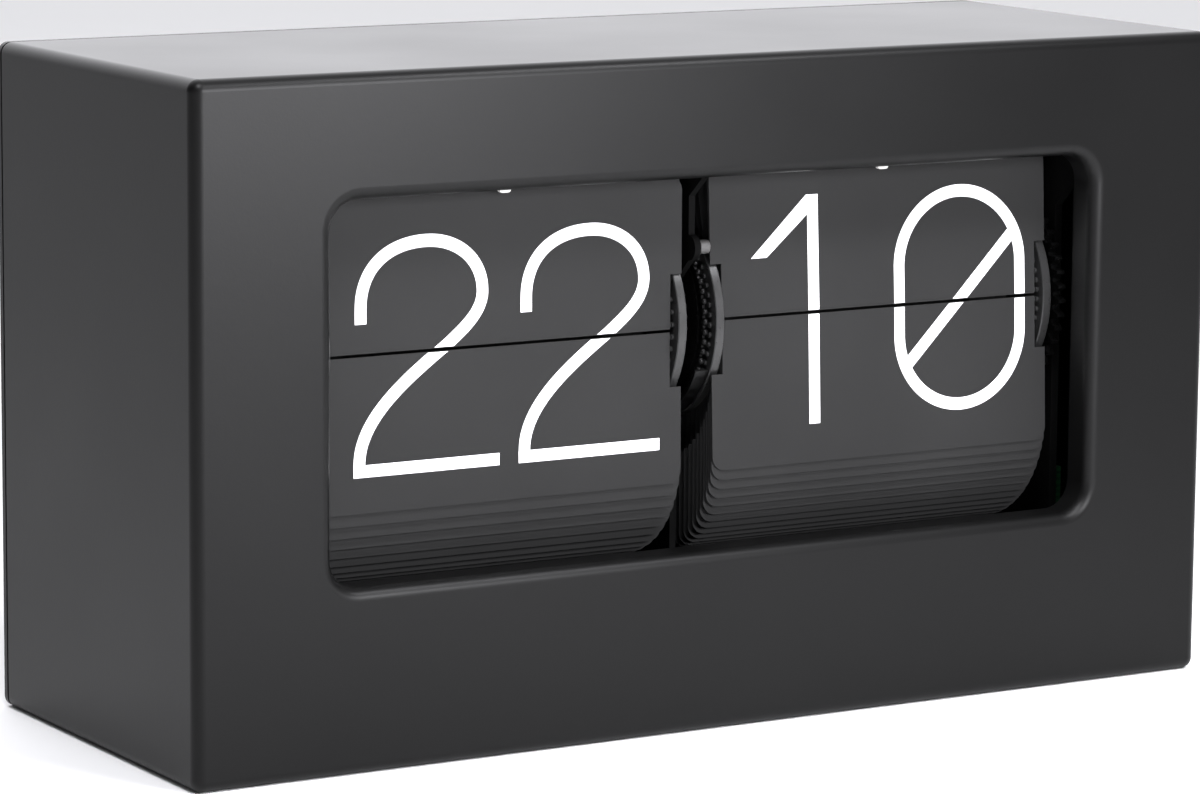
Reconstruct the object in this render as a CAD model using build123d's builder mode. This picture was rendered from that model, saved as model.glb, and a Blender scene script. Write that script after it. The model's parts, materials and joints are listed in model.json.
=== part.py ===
"""A desk clock with falling number leaves: a box with an open window, two leaf drums and their drive.

Units are millimetres. The origin is the centre of the case's underside, +Z is up, the front faces -Y,
and +X is the viewer's right. The drums turn about one shaft along X, their fronts moving down.
"""

import math
import os

from build123d import *

os.makedirs("parts", exist_ok=True)

# Case: a shell open at the back, closed by a flat panel
WIDTH = 200.0
DEPTH = 75.0
HEIGHT = 115.0
WALL = 3.0
EDGE_R = 2.0
FRONT_Y = -DEPTH / 2
BACK_Y = DEPTH / 2
PANEL_T = 1.6
PANEL_STEP_T = 0.5
PANEL_STEP_INSET = 0.9
PANEL_LIP_T = 1.6
PANEL_LIP_DEPTH = 2.0
FIT_GAP = 0.2
SHELL_BACK_Y = BACK_Y - PANEL_T - PANEL_STEP_T

# Window through the front wall, with a collar behind its edge
WINDOW_W = 150.0
WINDOW_LOW_Z = 31.0
WINDOW_HIGH_Z = 94.4
WINDOW_R = 5.0
WINDOW_EDGE_R = 2.1
COLLAR_DEPTH = 6.0
COLLAR_T = 2.0
WINDOW_Z = (WINDOW_LOW_Z + WINDOW_HIGH_Z) / 2
WINDOW_H = WINDOW_HIGH_Z - WINDOW_LOW_Z

# Drums: leaves hang by pins on a circle of holes in two end discs
AXIS_Y = -10.0
AXIS_Z = 68.0
PIN_CIRCLE_R = 16.3
DISC_R = 18.2
DISC_T = 1.7
DISC_PROUD = 0.1
SHAFT_R = 2.0
RUNNING_GAP = 0.05
CORE_R = 7.0

# Leaves
LEAF_W = 69.6
LEAF_T = 0.1
LEAF_L = 25.2
LEAF_BEHIND_PIN = 0.2
LEAF_LIP_T = 0.04
LEAF_CORNER_R = 2.4
NOTCH_W = 2.2
NOTCH_L = 8.6
PIN_R = 0.45
PIN_HOLE_R = PIN_R + RUNNING_GAP
PIN_PROUD = 0.4
PIN_START = 0.15
STACK_LEAVES = 6
FAN_LEAN = 4.0

# Each drum: left edge of its leaves, leaf count, angle of the top front pin above the shaft's level,
# backward lean of the top front leaf and of the one behind it, forward lean of the bottom front leaf,
# and how far the thin lip of each leaf reaches beyond its pins
HOUR = dict(name="hour", x=-72.3, leaves=48, pin=1.3, lean=0.5, next_lean=2.2, hang=1.0, lip=0.8)
MINUTE = dict(name="minute", x=3.3, leaves=60, pin=5.2, lean=3.2, next_lean=4.5, hang=2.4, lip=0.6)
HANG_FADE = 0.8

# Frame that carries the drums
SIDE_X = 76.5
SIDE_T = 1.5
CENTRE_X = -0.7
CENTRE_T = 1.2
BASE_Z = 10.0
BASE_T = 2.0
BASE_W = 178.0
BASE_FRONT_Y = -24.0
BASE_BACK_Y = 13.0
FOOT_T = 1.5
RAIL_Z = 98.0
RAIL_T = 1.6
RAIL_FRONT_Y = -30.0
RAIL_BACK_Y = -20.0
TENON_Y = (-28.0, -23.0)
TENON_GAP = 0.1
POST_R = 3.2
POST_X = 84.0
POST_Y = (-19.5, 8.5)
BOSS_R = 3.5
BOSS_INSET = 9.0
BOSS_FRONT_Y = 15.0
SCREW_R = 1.2
SCREW_HEAD_R = 2.4
SCREW_HEAD_T = 1.3
SCREW_LENGTH = 9.0
SCREW_HEAD_ANGLE = 2 * math.degrees(math.atan((SCREW_HEAD_R - SCREW_R) / SCREW_HEAD_T))
SPACER_R = 4.0
CLIP_T = 0.8
END_PLAY = 0.15
STOP_W = 2.2
STOP_T = 0.8
STOP_LOW_Z = 92.95
STOP_Y = -28.4
STOP_X = (-38.3, 36.6)

# Gears, all spur gears with axes along X
GEAR_MODULE = 0.8
FINE_MODULE = 0.6
GEAR_T = 1.6
TOOTH_SHARE = 0.42
ADDENDUM = 0.9
DEDENDUM = 1.15
FLANK_SLOPE = 0.72
MINUTE_GEAR_TEETH = 45
REDUCTION_PINION_TEETH = 10
REDUCTION_WHEEL_TEETH = 40
MOTOR_PINION_TEETH = 10
SETTING_IDLER_TEETH = 15
SETTING_GEAR_TEETH = 18
HOUR_GEAR_TEETH = 50
CARRY_TEETH = 12
REDUCTION_ANGLE = -50.0
MOTOR_ANGLE = -53.0
CARRY_ANGLE = 60.0
ARBOR_R = 1.2
INNER_GEAR_X = 74.2
OUTER_GEAR_X = 78.6
GEAR_HUB_R = 12.0
HOUR_GEAR_T = 1.7

# Star wheel on the inner end of the minute drum: one round tooth for each minute
STAR_TEETH = 60
STAR_R = 16.7
STAR_PHASE = 4.5
STAR_X = 1.2
STAR_T = 1.2
STAR_BODY_R = STAR_R - 0.3
STAR_TOOTH_R = 0.64
STAR_HUB_R = 12.0

# Carry between the drums: a pinion on the hour side, a lobed cam on the minute side, and its fingers
CARRY_PINION_X = -2.0
CARRY_PINION_T = 1.1
CARRY_CAM_X = 0.6
CARRY_CAM_T = 0.45
CARRY_ARBOR_R = 0.9
CARRY_LOBES = 5
CARRY_LOBE_R = 1.3
CARRY_LOBE_AT = 2.65
CARRY_LOBE_PHASE = 96.0
FINGER_AT = 14.6
FINGER_R = 0.8
FINGER_ANGLE = -60.0
FINGER_X = 0.7

# Detent strip that presses on the star wheel, and the peg that keeps the minute leaves in line
DETENT_R = 17.4
DETENT_T = 0.5
DETENT_FROM = 207.0
DETENT_TO = 262.0
LUG_R = 2.2
GUIDE = (-25.2, 81.15)
GUIDE_R = 1.2
GUIDE_STEM_R = 0.6
GUIDE_X = 1.1
GUIDE_END_X = 3.1
GUIDE_BOSS_R = 2.2

# Motor and its board, outside the right plate
MOTOR_X = 81.2
MOTOR_R = 10.5
MOTOR_L = 11.0
MOTOR_SHAFT_R = 0.8
MOTOR_SHAFT_DEPTH = 2.0
MOTOR_EAR_R = 3.0
MOTOR_EAR_T = 1.0
MOTOR_POST_R = 2.4
MOTOR_EAR_DISTANCE = 13.0
BOARD_X = 80.0
BOARD_T = 1.2
BOARD_Y = -11.0
BOARD_Z = 26.0
BOARD_W = 20.0
BOARD_H = 20.0
STANDOFF_R = 1.5
# Width, height and thickness of each component, and its place from the middle of the board
COMPONENTS = ((7.0, 7.0, 1.4, 0.0, 4.0), (3.0, 8.0, 2.4, -5.0, -4.0), (5.0, 5.0, 5.0, 5.0, -5.0))

# Setting wheel
WHEEL_R = 10.0
WHEEL_X = 79.6
WHEEL_W = 5.0
WHEEL_GRIPS = 30
GRIP_R = 0.7

# Battery tray and door
TRAY_X = -66.0
TRAY_W = 60.0
TRAY_Z = 5.0
TRAY_H = 34.5
TRAY_Y = 15.5
TRAY_WALL = 1.5
CELL_R = 7.2
CELL_L = 50.5
CELL_Y = 25.6
CELL_TIP_R = 2.7
CELL_TIP_L = 1.0
STRIP_T = 0.4
STRIP_L = 11.0
STRIP_W = 6.0
DOOR_X = TRAY_X + TRAY_W / 2
DOOR_Z = TRAY_Z + TRAY_H / 2
DOOR_W = TRAY_W - 1.0
DOOR_H = TRAY_H - 1.0
DOOR_T = 1.0
DOOR_LEDGE = 2.0
DOOR_GAP = 0.25


def save(piece, name):
    """Writes one finished piece under its own name."""
    piece.label = name
    export_step(piece, f"parts/{name}.step")


def save_group(solids, name):
    """Writes several separate solids as one node."""
    save(Compound(label=name, children=list(solids)), name)


def on_x(x):
    """The plane across the X axis at x, with its own x along +Y and its own y along +Z."""
    return Plane.YZ.offset(x)


def gear_outline(centre, teeth, module, phase):
    """Corners of a straight-flanked gear with one tooth centred on phase degrees."""
    pitch_r = teeth * module / 2
    tip_r = pitch_r + ADDENDUM * module
    root_r = pitch_r - DEDENDUM * module
    width = TOOTH_SHARE * math.pi * module
    corners = []
    for tooth in range(teeth):
        middle = math.radians(phase + 360 * tooth / teeth)
        for side, radius in ((-1, root_r), (-1, tip_r), (1, tip_r), (1, root_r)):
            half = (width - FLANK_SLOPE * (radius - pitch_r)) / 2
            angle = middle + side * half / radius
            corners.append((centre[0] + radius * math.cos(angle), centre[1] + radius * math.sin(angle)))
    return corners


def meshed_phase(teeth, phase, other_teeth, direction):
    """Phase that puts a gap of the other gear on the first gear's tooth, seen along direction."""
    pitch = 360 / teeth
    offset = (phase - direction + pitch / 2) % pitch - pitch / 2
    return direction + 180 - offset * teeth / other_teeth + 180 / other_teeth


def away(centre, distance, angle):
    """The point at a distance from a centre, in the plane across X."""
    return (
        centre[0] + distance * math.cos(math.radians(angle)),
        centre[1] + distance * math.sin(math.radians(angle)),
    )


def gear_distance(teeth, other_teeth, module):
    """Distance between the axes of two meshed gears."""
    return (teeth + other_teeth) * module / 2


AXIS = (AXIS_Y, AXIS_Z)
REDUCTION = away(AXIS, gear_distance(MINUTE_GEAR_TEETH, REDUCTION_PINION_TEETH, GEAR_MODULE), REDUCTION_ANGLE)
MOTOR = away(REDUCTION, gear_distance(REDUCTION_WHEEL_TEETH, MOTOR_PINION_TEETH, FINE_MODULE), MOTOR_ANGLE)
SETTING_IDLER = away(AXIS, gear_distance(MINUTE_GEAR_TEETH, SETTING_IDLER_TEETH, GEAR_MODULE), 0)
SETTING = away(SETTING_IDLER, gear_distance(SETTING_IDLER_TEETH, SETTING_GEAR_TEETH, GEAR_MODULE), 0)
CARRY = away(AXIS, gear_distance(HOUR_GEAR_TEETH, CARRY_TEETH, FINE_MODULE), CARRY_ANGLE)


def pin_point(angle):
    """Place of a leaf pin on its circle, by its angle above the shaft's level at the front."""
    turned = math.radians(angle)
    return AXIS_Y - PIN_CIRCLE_R * math.cos(turned), AXIS_Z + PIN_CIRCLE_R * math.sin(turned)


def leaf(drum, pin_angle, lean):
    """One leaf with its ears, pins and hinge lip, tilted back from upright by lean degrees.

    The lip is thin and at the leaf's back, so it clears the leaf in front as the drum turns.
    """
    x_left = drum["x"]
    pin_y, pin_z = pin_point(pin_angle)
    tilt = math.radians(lean)
    normal = (0, -math.cos(tilt), math.sin(tilt))
    flat = Plane(origin=(x_left, pin_y, pin_z), x_dir=(1, 0, 0), z_dir=normal)
    ear_out = NOTCH_W - PIN_START - 0.3
    left, right = NOTCH_W, LEAF_W - NOTCH_W
    low, ear_top = -LEAF_BEHIND_PIN, PIN_R * 0.8
    with BuildPart() as piece:
        with BuildSketch(flat) as outline:
            with BuildLine():
                Polyline(
                    (left, low),
                    (right, low),
                    (right, -ear_top),
                    (right + ear_out, -ear_top),
                    (right + ear_out, ear_top),
                    (right, ear_top),
                    (right, NOTCH_L),
                    (LEAF_W, NOTCH_L),
                    (LEAF_W, LEAF_L),
                    (0, LEAF_L),
                    (0, NOTCH_L),
                    (left, NOTCH_L),
                    (left, ear_top),
                    (left - ear_out, ear_top),
                    (left - ear_out, -ear_top),
                    (left, -ear_top),
                    close=True,
                )
            make_face()
            fillet(outline.vertices().group_by(Axis.Y)[-1], LEAF_CORNER_R)
        extrude(amount=LEAF_T / 2, both=True)
        with BuildSketch(flat.offset(-LEAF_T / 2)):
            with Locations((LEAF_W / 2, (low - drum["lip"]) / 2)):
                Rectangle(right - left, drum["lip"] + low)
        extrude(amount=LEAF_LIP_T)
        for start, length in (
            (x_left - DISC_PROUD - PIN_PROUD, NOTCH_W - PIN_START + DISC_PROUD + PIN_PROUD),
            (x_left + right + PIN_START, NOTCH_W - PIN_START + DISC_PROUD + PIN_PROUD),
        ):
            with BuildSketch(on_x(start)):
                with Locations((pin_y, pin_z)):
                    Circle(PIN_R)
            extrude(amount=length)
    return piece.part


def stack_hang(drum, place):
    """Forward lean of a fallen leaf, counted from the front one."""
    return drum["hang"] * HANG_FADE**place


def make_leaves(drum):
    """All the leaves of one drum: the two at the upper front, a stack at the lower front, and the rest."""
    name = drum["name"]
    step = 360 / drum["leaves"]
    half = drum["leaves"] // 2
    save(leaf(drum, drum["pin"], drum["lean"]), f"{name}_leaf_falling")
    save(leaf(drum, drum["pin"] + step, drum["next_lean"]), f"{name}_leaf_next")
    waiting = []
    for place in range(2, half):
        angle = drum["pin"] + place * step
        waiting.append(leaf(drum, angle, angle - FAN_LEAN))
    save_group(waiting, f"{name}_leaves_waiting")
    hanging = []
    for place in range(half):
        angle = drum["pin"] - (place + 1) * step
        fallen = leaf(drum, angle, 180 + stack_hang(drum, place))
        if place < STACK_LEAVES:
            save(fallen, f"{name}_leaf_{place}")
        else:
            hanging.append(fallen)
    save_group(hanging, f"{name}_leaves_hanging")


def make_disc(drum, x_inner_face, outward):
    """An end disc with a hole for each leaf pin. Outward is 1 towards +X and -1 towards -X."""
    step = 360 / drum["leaves"]
    with BuildPart() as disc:
        with BuildSketch(on_x(x_inner_face)):
            with Locations(AXIS):
                Circle(DISC_R)
                with PolarLocations(PIN_CIRCLE_R, drum["leaves"], start_angle=180 - drum["pin"]):
                    Circle(PIN_HOLE_R, mode=Mode.SUBTRACT)
                Circle(SHAFT_R + RUNNING_GAP, mode=Mode.SUBTRACT)
        extrude(amount=outward * DISC_T)
        rim = disc.edges().filter_by(GeomType.CIRCLE).group_by(SortBy.RADIUS)[-1]
        chamfer(rim, 0.15)
    return disc.part


def make_drum(drum):
    """The two end discs and the core between them."""
    name = drum["name"]
    left_inner = drum["x"] - DISC_PROUD + DISC_T
    right_inner = drum["x"] + LEAF_W + DISC_PROUD - DISC_T
    save(make_disc(drum, left_inner, -1), f"{name}_disc_left")
    save(make_disc(drum, right_inner, 1), f"{name}_disc_right")
    with BuildPart() as core:
        with BuildSketch(on_x(left_inner)):
            with Locations(AXIS):
                Circle(CORE_R)
                Circle(SHAFT_R + RUNNING_GAP, mode=Mode.SUBTRACT)
        extrude(amount=right_inner - left_inner)
        with BuildSketch(on_x(left_inner + 8)):
            with Locations(AXIS):
                Circle(CORE_R)
                Circle(CORE_R - 2.5, mode=Mode.SUBTRACT)
        extrude(amount=right_inner - left_inner - 16, mode=Mode.SUBTRACT)
    save(core.part, f"{name}_core")


def add_gear(centre, teeth, module, phase, x, thickness, bore_r=0):
    """Adds a gear to the piece being built."""
    with BuildSketch(on_x(x)) as profile:
        with BuildLine():
            Polyline(*gear_outline(centre, teeth, module, phase), close=True)
        make_face()
        if bore_r:
            with Locations(centre):
                Circle(bore_r, mode=Mode.SUBTRACT)
    extrude(profile.sketch, amount=thickness)


def add_rod(centre, radius, start, end):
    """Adds a round rod along X to the piece being built."""
    with BuildSketch(on_x(start)) as profile:
        with Locations(centre):
            Circle(radius)
    extrude(profile.sketch, amount=end - start)


def screw(seat, length, countersunk=False):
    """A screw with a slotted head. Seat is the plane its head rests on, facing out of the hole."""
    with BuildPart() as part:
        with BuildSketch(seat):
            Circle(SCREW_R)
        extrude(amount=-length)
        if countersunk:
            with BuildSketch(seat):
                Circle(SCREW_HEAD_R)
            with BuildSketch(seat.offset(-SCREW_HEAD_T)):
                Circle(SCREW_R)
            loft()
            top = seat
        else:
            with BuildSketch(seat):
                Circle(SCREW_HEAD_R)
            extrude(amount=SCREW_HEAD_T)
            top = seat.offset(SCREW_HEAD_T)
        with BuildSketch(top):
            Rectangle(2 * SCREW_HEAD_R, 0.6)
        extrude(amount=-SCREW_HEAD_T / 2, mode=Mode.SUBTRACT)
    return part.part


def boss_places():
    """Centres of the four back screws, in X and Z."""
    x = WIDTH / 2 - BOSS_INSET
    return [(side * x, z) for side in (-1, 1) for z in (BOSS_INSET, HEIGHT - BOSS_INSET)]


def back_plane(y, x=0, z=0):
    """The plane across the Y axis at y, facing the back, with its own x along -X and y along +Z."""
    return Plane(origin=(x, y, z), x_dir=(-1, 0, 0), z_dir=(0, 1, 0))


def make_shell():
    """The case: four walls and a front with a window, open at the back."""
    with BuildPart() as shell:
        with BuildSketch(back_plane(SHELL_BACK_Y)):
            with Locations((0, HEIGHT / 2)):
                RectangleRounded(WIDTH, HEIGHT, EDGE_R)
        extrude(amount=-(SHELL_BACK_Y - FRONT_Y))
        fillet(shell.faces().sort_by(Axis.Y)[0].edges(), EDGE_R * 0.98)
        with BuildSketch(back_plane(SHELL_BACK_Y)):
            with Locations((0, HEIGHT / 2)):
                RectangleRounded(WIDTH - 2 * WALL, HEIGHT - 2 * WALL, EDGE_R)
        extrude(amount=-(SHELL_BACK_Y - FRONT_Y - WALL), mode=Mode.SUBTRACT)
        with BuildSketch(back_plane(FRONT_Y + COLLAR_DEPTH)):
            with Locations((0, WINDOW_Z)):
                RectangleRounded(WINDOW_W + 2 * COLLAR_T, WINDOW_H + 2 * COLLAR_T, WINDOW_R + COLLAR_T)
        extrude(amount=-(COLLAR_DEPTH - WALL))
        with BuildSketch(back_plane(FRONT_Y + COLLAR_DEPTH)):
            with Locations((0, WINDOW_Z)):
                RectangleRounded(WINDOW_W, WINDOW_H, WINDOW_R)
        extrude(amount=-COLLAR_DEPTH, mode=Mode.SUBTRACT)
        fillet(shell.faces().sort_by(Axis.Y)[0].inner_wires()[0].edges(), WINDOW_EDGE_R)
        with BuildSketch(Plane.XY.offset(WALL)):
            with Locations(*[(side * POST_X, y) for side in (-1, 1) for y in POST_Y]):
                Circle(POST_R)
        extrude(amount=BASE_Z - WALL)
        with BuildSketch(back_plane(BOSS_FRONT_Y)):
            with Locations(*[(-x, z) for x, z in boss_places()]):
                Circle(BOSS_R)
        extrude(amount=SHELL_BACK_Y - BOSS_FRONT_Y)
        with BuildSketch(back_plane(BOSS_FRONT_Y)):
            for x, z in boss_places():
                with Locations((-math.copysign(WIDTH / 2 - BOSS_INSET / 2, x), z)):
                    Rectangle(BOSS_INSET - WALL / 2, WALL)
        extrude(amount=SHELL_BACK_Y - BOSS_FRONT_Y - 2 * PANEL_LIP_DEPTH)
        with BuildSketch(Plane.XY.offset(BASE_Z)):
            with Locations(*[(side * POST_X, y) for side in (-1, 1) for y in POST_Y]):
                Circle(SCREW_R)
        extrude(amount=-(BASE_Z - WALL), mode=Mode.SUBTRACT)
        with BuildSketch(back_plane(SHELL_BACK_Y)):
            with Locations(*[(-x, z) for x, z in boss_places()]):
                Circle(SCREW_R)
        extrude(amount=-SCREW_LENGTH, mode=Mode.SUBTRACT)
    save(shell.part, "case_shell")


def make_back_panel():
    """The back: a plate, a smaller step that leaves a groove round it, and a lip inside the shell."""
    with BuildPart() as panel:
        with BuildSketch(back_plane(BACK_Y)):
            with Locations((0, HEIGHT / 2)):
                RectangleRounded(WIDTH, HEIGHT, EDGE_R)
        extrude(amount=-PANEL_T)
        fillet(panel.faces().sort_by(Axis.Y)[-1].edges(), 0.5)
        with BuildSketch(back_plane(BACK_Y - PANEL_T)):
            with Locations((0, HEIGHT / 2)):
                RectangleRounded(WIDTH - 2 * PANEL_STEP_INSET, HEIGHT - 2 * PANEL_STEP_INSET, EDGE_R)
        extrude(amount=-PANEL_STEP_T)
        with BuildSketch(back_plane(SHELL_BACK_Y)):
            with Locations((0, HEIGHT / 2)):
                outer_w = WIDTH - 2 * WALL - 2 * FIT_GAP
                outer_h = HEIGHT - 2 * WALL - 2 * FIT_GAP
                RectangleRounded(outer_w, outer_h, EDGE_R)
                Rectangle(outer_w - 2 * PANEL_LIP_T, outer_h - 2 * PANEL_LIP_T, mode=Mode.SUBTRACT)
        extrude(amount=-PANEL_LIP_DEPTH)
        with BuildSketch(back_plane(BACK_Y)):
            with Locations((-DOOR_X, DOOR_Z)):
                RectangleRounded(DOOR_W + 2 * DOOR_GAP, DOOR_H + 2 * DOOR_GAP, 2)
        extrude(amount=-DOOR_T, mode=Mode.SUBTRACT)
        with BuildSketch(back_plane(BACK_Y)):
            with Locations((-DOOR_X, DOOR_Z)):
                RectangleRounded(DOOR_W - 2 * DOOR_LEDGE, DOOR_H - 2 * DOOR_LEDGE, 1)
        extrude(amount=-(BACK_Y - SHELL_BACK_Y), mode=Mode.SUBTRACT)
        with BuildSketch(back_plane(BACK_Y)):
            with Locations((-(WHEEL_X + WHEEL_W / 2), AXIS_Z)):
                RectangleRounded(WHEEL_W + 0.8, 1.36 * WHEEL_R, 1)
        extrude(amount=-(BACK_Y - SHELL_BACK_Y), mode=Mode.SUBTRACT)
        with Locations(*[back_plane(BACK_Y, x, z) for x, z in boss_places()]):
            CounterSinkHole(SCREW_R, SCREW_HEAD_R, counter_sink_angle=SCREW_HEAD_ANGLE)
    save(panel.part, "back_panel")
    screws = [screw(back_plane(BACK_Y, x, z), SCREW_LENGTH, True) for x, z in boss_places()]
    save_group(screws, "back_screws")


def contact_strip(side, z):
    """A strip against the end wall of the tray, bent over so its free end presses on the cell."""
    wall_x = DOOR_X + side * (TRAY_W / 2 - TRAY_WALL)
    cell_end_x = DOOR_X + side * CELL_L / 2
    inner_x = wall_x - side * STRIP_T
    low_y, high_y = CELL_Y - STRIP_L / 2, CELL_Y + STRIP_L / 2
    with BuildPart() as strip:
        with BuildSketch(Plane.XY.offset(z - STRIP_W / 2)):
            with BuildLine():
                Polyline(
                    (wall_x, low_y),
                    (wall_x, high_y),
                    (inner_x, high_y),
                    (inner_x, low_y + 2 * STRIP_T),
                    (cell_end_x, CELL_Y),
                    (cell_end_x, CELL_Y - STRIP_T),
                    (inner_x, low_y),
                    close=True,
                )
            make_face()
        extrude(amount=STRIP_W)
    return strip.part


def make_battery_bay():
    """The tray inside the back panel, its two cells, their contact strips, and the door."""
    tray_back = SHELL_BACK_Y
    with BuildPart() as tray:
        with BuildSketch(back_plane(tray_back)):
            with Locations((-DOOR_X, DOOR_Z)):
                RectangleRounded(TRAY_W, TRAY_H, 2)
        extrude(amount=-(tray_back - TRAY_Y))
        with BuildSketch(back_plane(tray_back)):
            with Locations((-DOOR_X, DOOR_Z)):
                RectangleRounded(TRAY_W - 2 * TRAY_WALL, TRAY_H - 2 * TRAY_WALL, 1)
        extrude(amount=-(tray_back - TRAY_Y - TRAY_WALL), mode=Mode.SUBTRACT)
    save(tray.part, "battery_tray")
    cell_rise = TRAY_H / 2 - TRAY_WALL - CELL_R - 0.4
    cells = []
    contacts = []
    for turn, z in ((1, DOOR_Z - cell_rise), (-1, DOOR_Z + cell_rise)):
        with BuildPart() as cell:
            flat_end = (DOOR_X - turn * CELL_L / 2, CELL_Y, z)
            with BuildSketch(Plane(origin=flat_end, x_dir=(0, 1, 0), z_dir=(turn, 0, 0))):
                Circle(CELL_R)
            extrude(amount=CELL_L - CELL_TIP_L)
            with BuildSketch(faces().sort_by(Axis.X)[-1 if turn > 0 else 0]):
                Circle(CELL_TIP_R)
            extrude(amount=CELL_TIP_L)
        cells.append(cell.part)
        for side in (-1, 1):
            contacts.append(contact_strip(side, z))
    save_group(cells, "battery_cells")
    save_group(contacts, "battery_contacts")
    with BuildPart() as door:
        with BuildSketch(back_plane(BACK_Y)):
            with Locations((-DOOR_X, DOOR_Z)):
                RectangleRounded(DOOR_W, DOOR_H, 2 - DOOR_GAP)
        extrude(amount=-DOOR_T)
        with BuildSketch(back_plane(BACK_Y)):
            with Locations((-DOOR_X, DOOR_Z + DOOR_H / 2 - 4)):
                SlotOverall(14, 3)
        extrude(amount=-DOOR_T / 2, mode=Mode.SUBTRACT)
    save(door.part, "battery_door")


def make_side_plate(name, side, corners, holes):
    """A side plate with a foot turned outwards at its base and a tenon for the top rail."""
    face_x = SIDE_X if side > 0 else -SIDE_X - SIDE_T
    foot_x = SIDE_X + SIDE_T if side > 0 else -BASE_W / 2
    with BuildPart() as plate:
        with BuildSketch(on_x(face_x)):
            with BuildLine():
                Polyline(*corners, close=True)
            make_face()
            with Locations((sum(TENON_Y) / 2, RAIL_Z + RAIL_T / 2)):
                Rectangle(TENON_Y[1] - TENON_Y[0], RAIL_T)
            for place, radius in holes:
                with Locations(place):
                    Circle(radius, mode=Mode.SUBTRACT)
        extrude(amount=SIDE_T)
        with BuildSketch(Plane.XY.offset(BASE_Z + BASE_T)):
            with Locations((foot_x + (BASE_W / 2 - SIDE_X - SIDE_T) / 2, (BASE_FRONT_Y + BASE_BACK_Y) / 2)):
                Rectangle(BASE_W / 2 - SIDE_X - SIDE_T, BASE_BACK_Y - BASE_FRONT_Y)
            with Locations(*[(side * POST_X, y) for y in POST_Y]):
                Circle(SCREW_R, mode=Mode.SUBTRACT)
        extrude(amount=FOOT_T)
    save(plate.part, name)


def shaft_ring(start, end):
    """A ring on the drum shaft from one x to another."""
    with BuildPart() as ring:
        with BuildSketch(on_x(start)):
            with Locations(AXIS):
                Circle(SPACER_R)
                Circle(SHAFT_R, mode=Mode.SUBTRACT)
        extrude(amount=end - start)
    return ring.part


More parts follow.
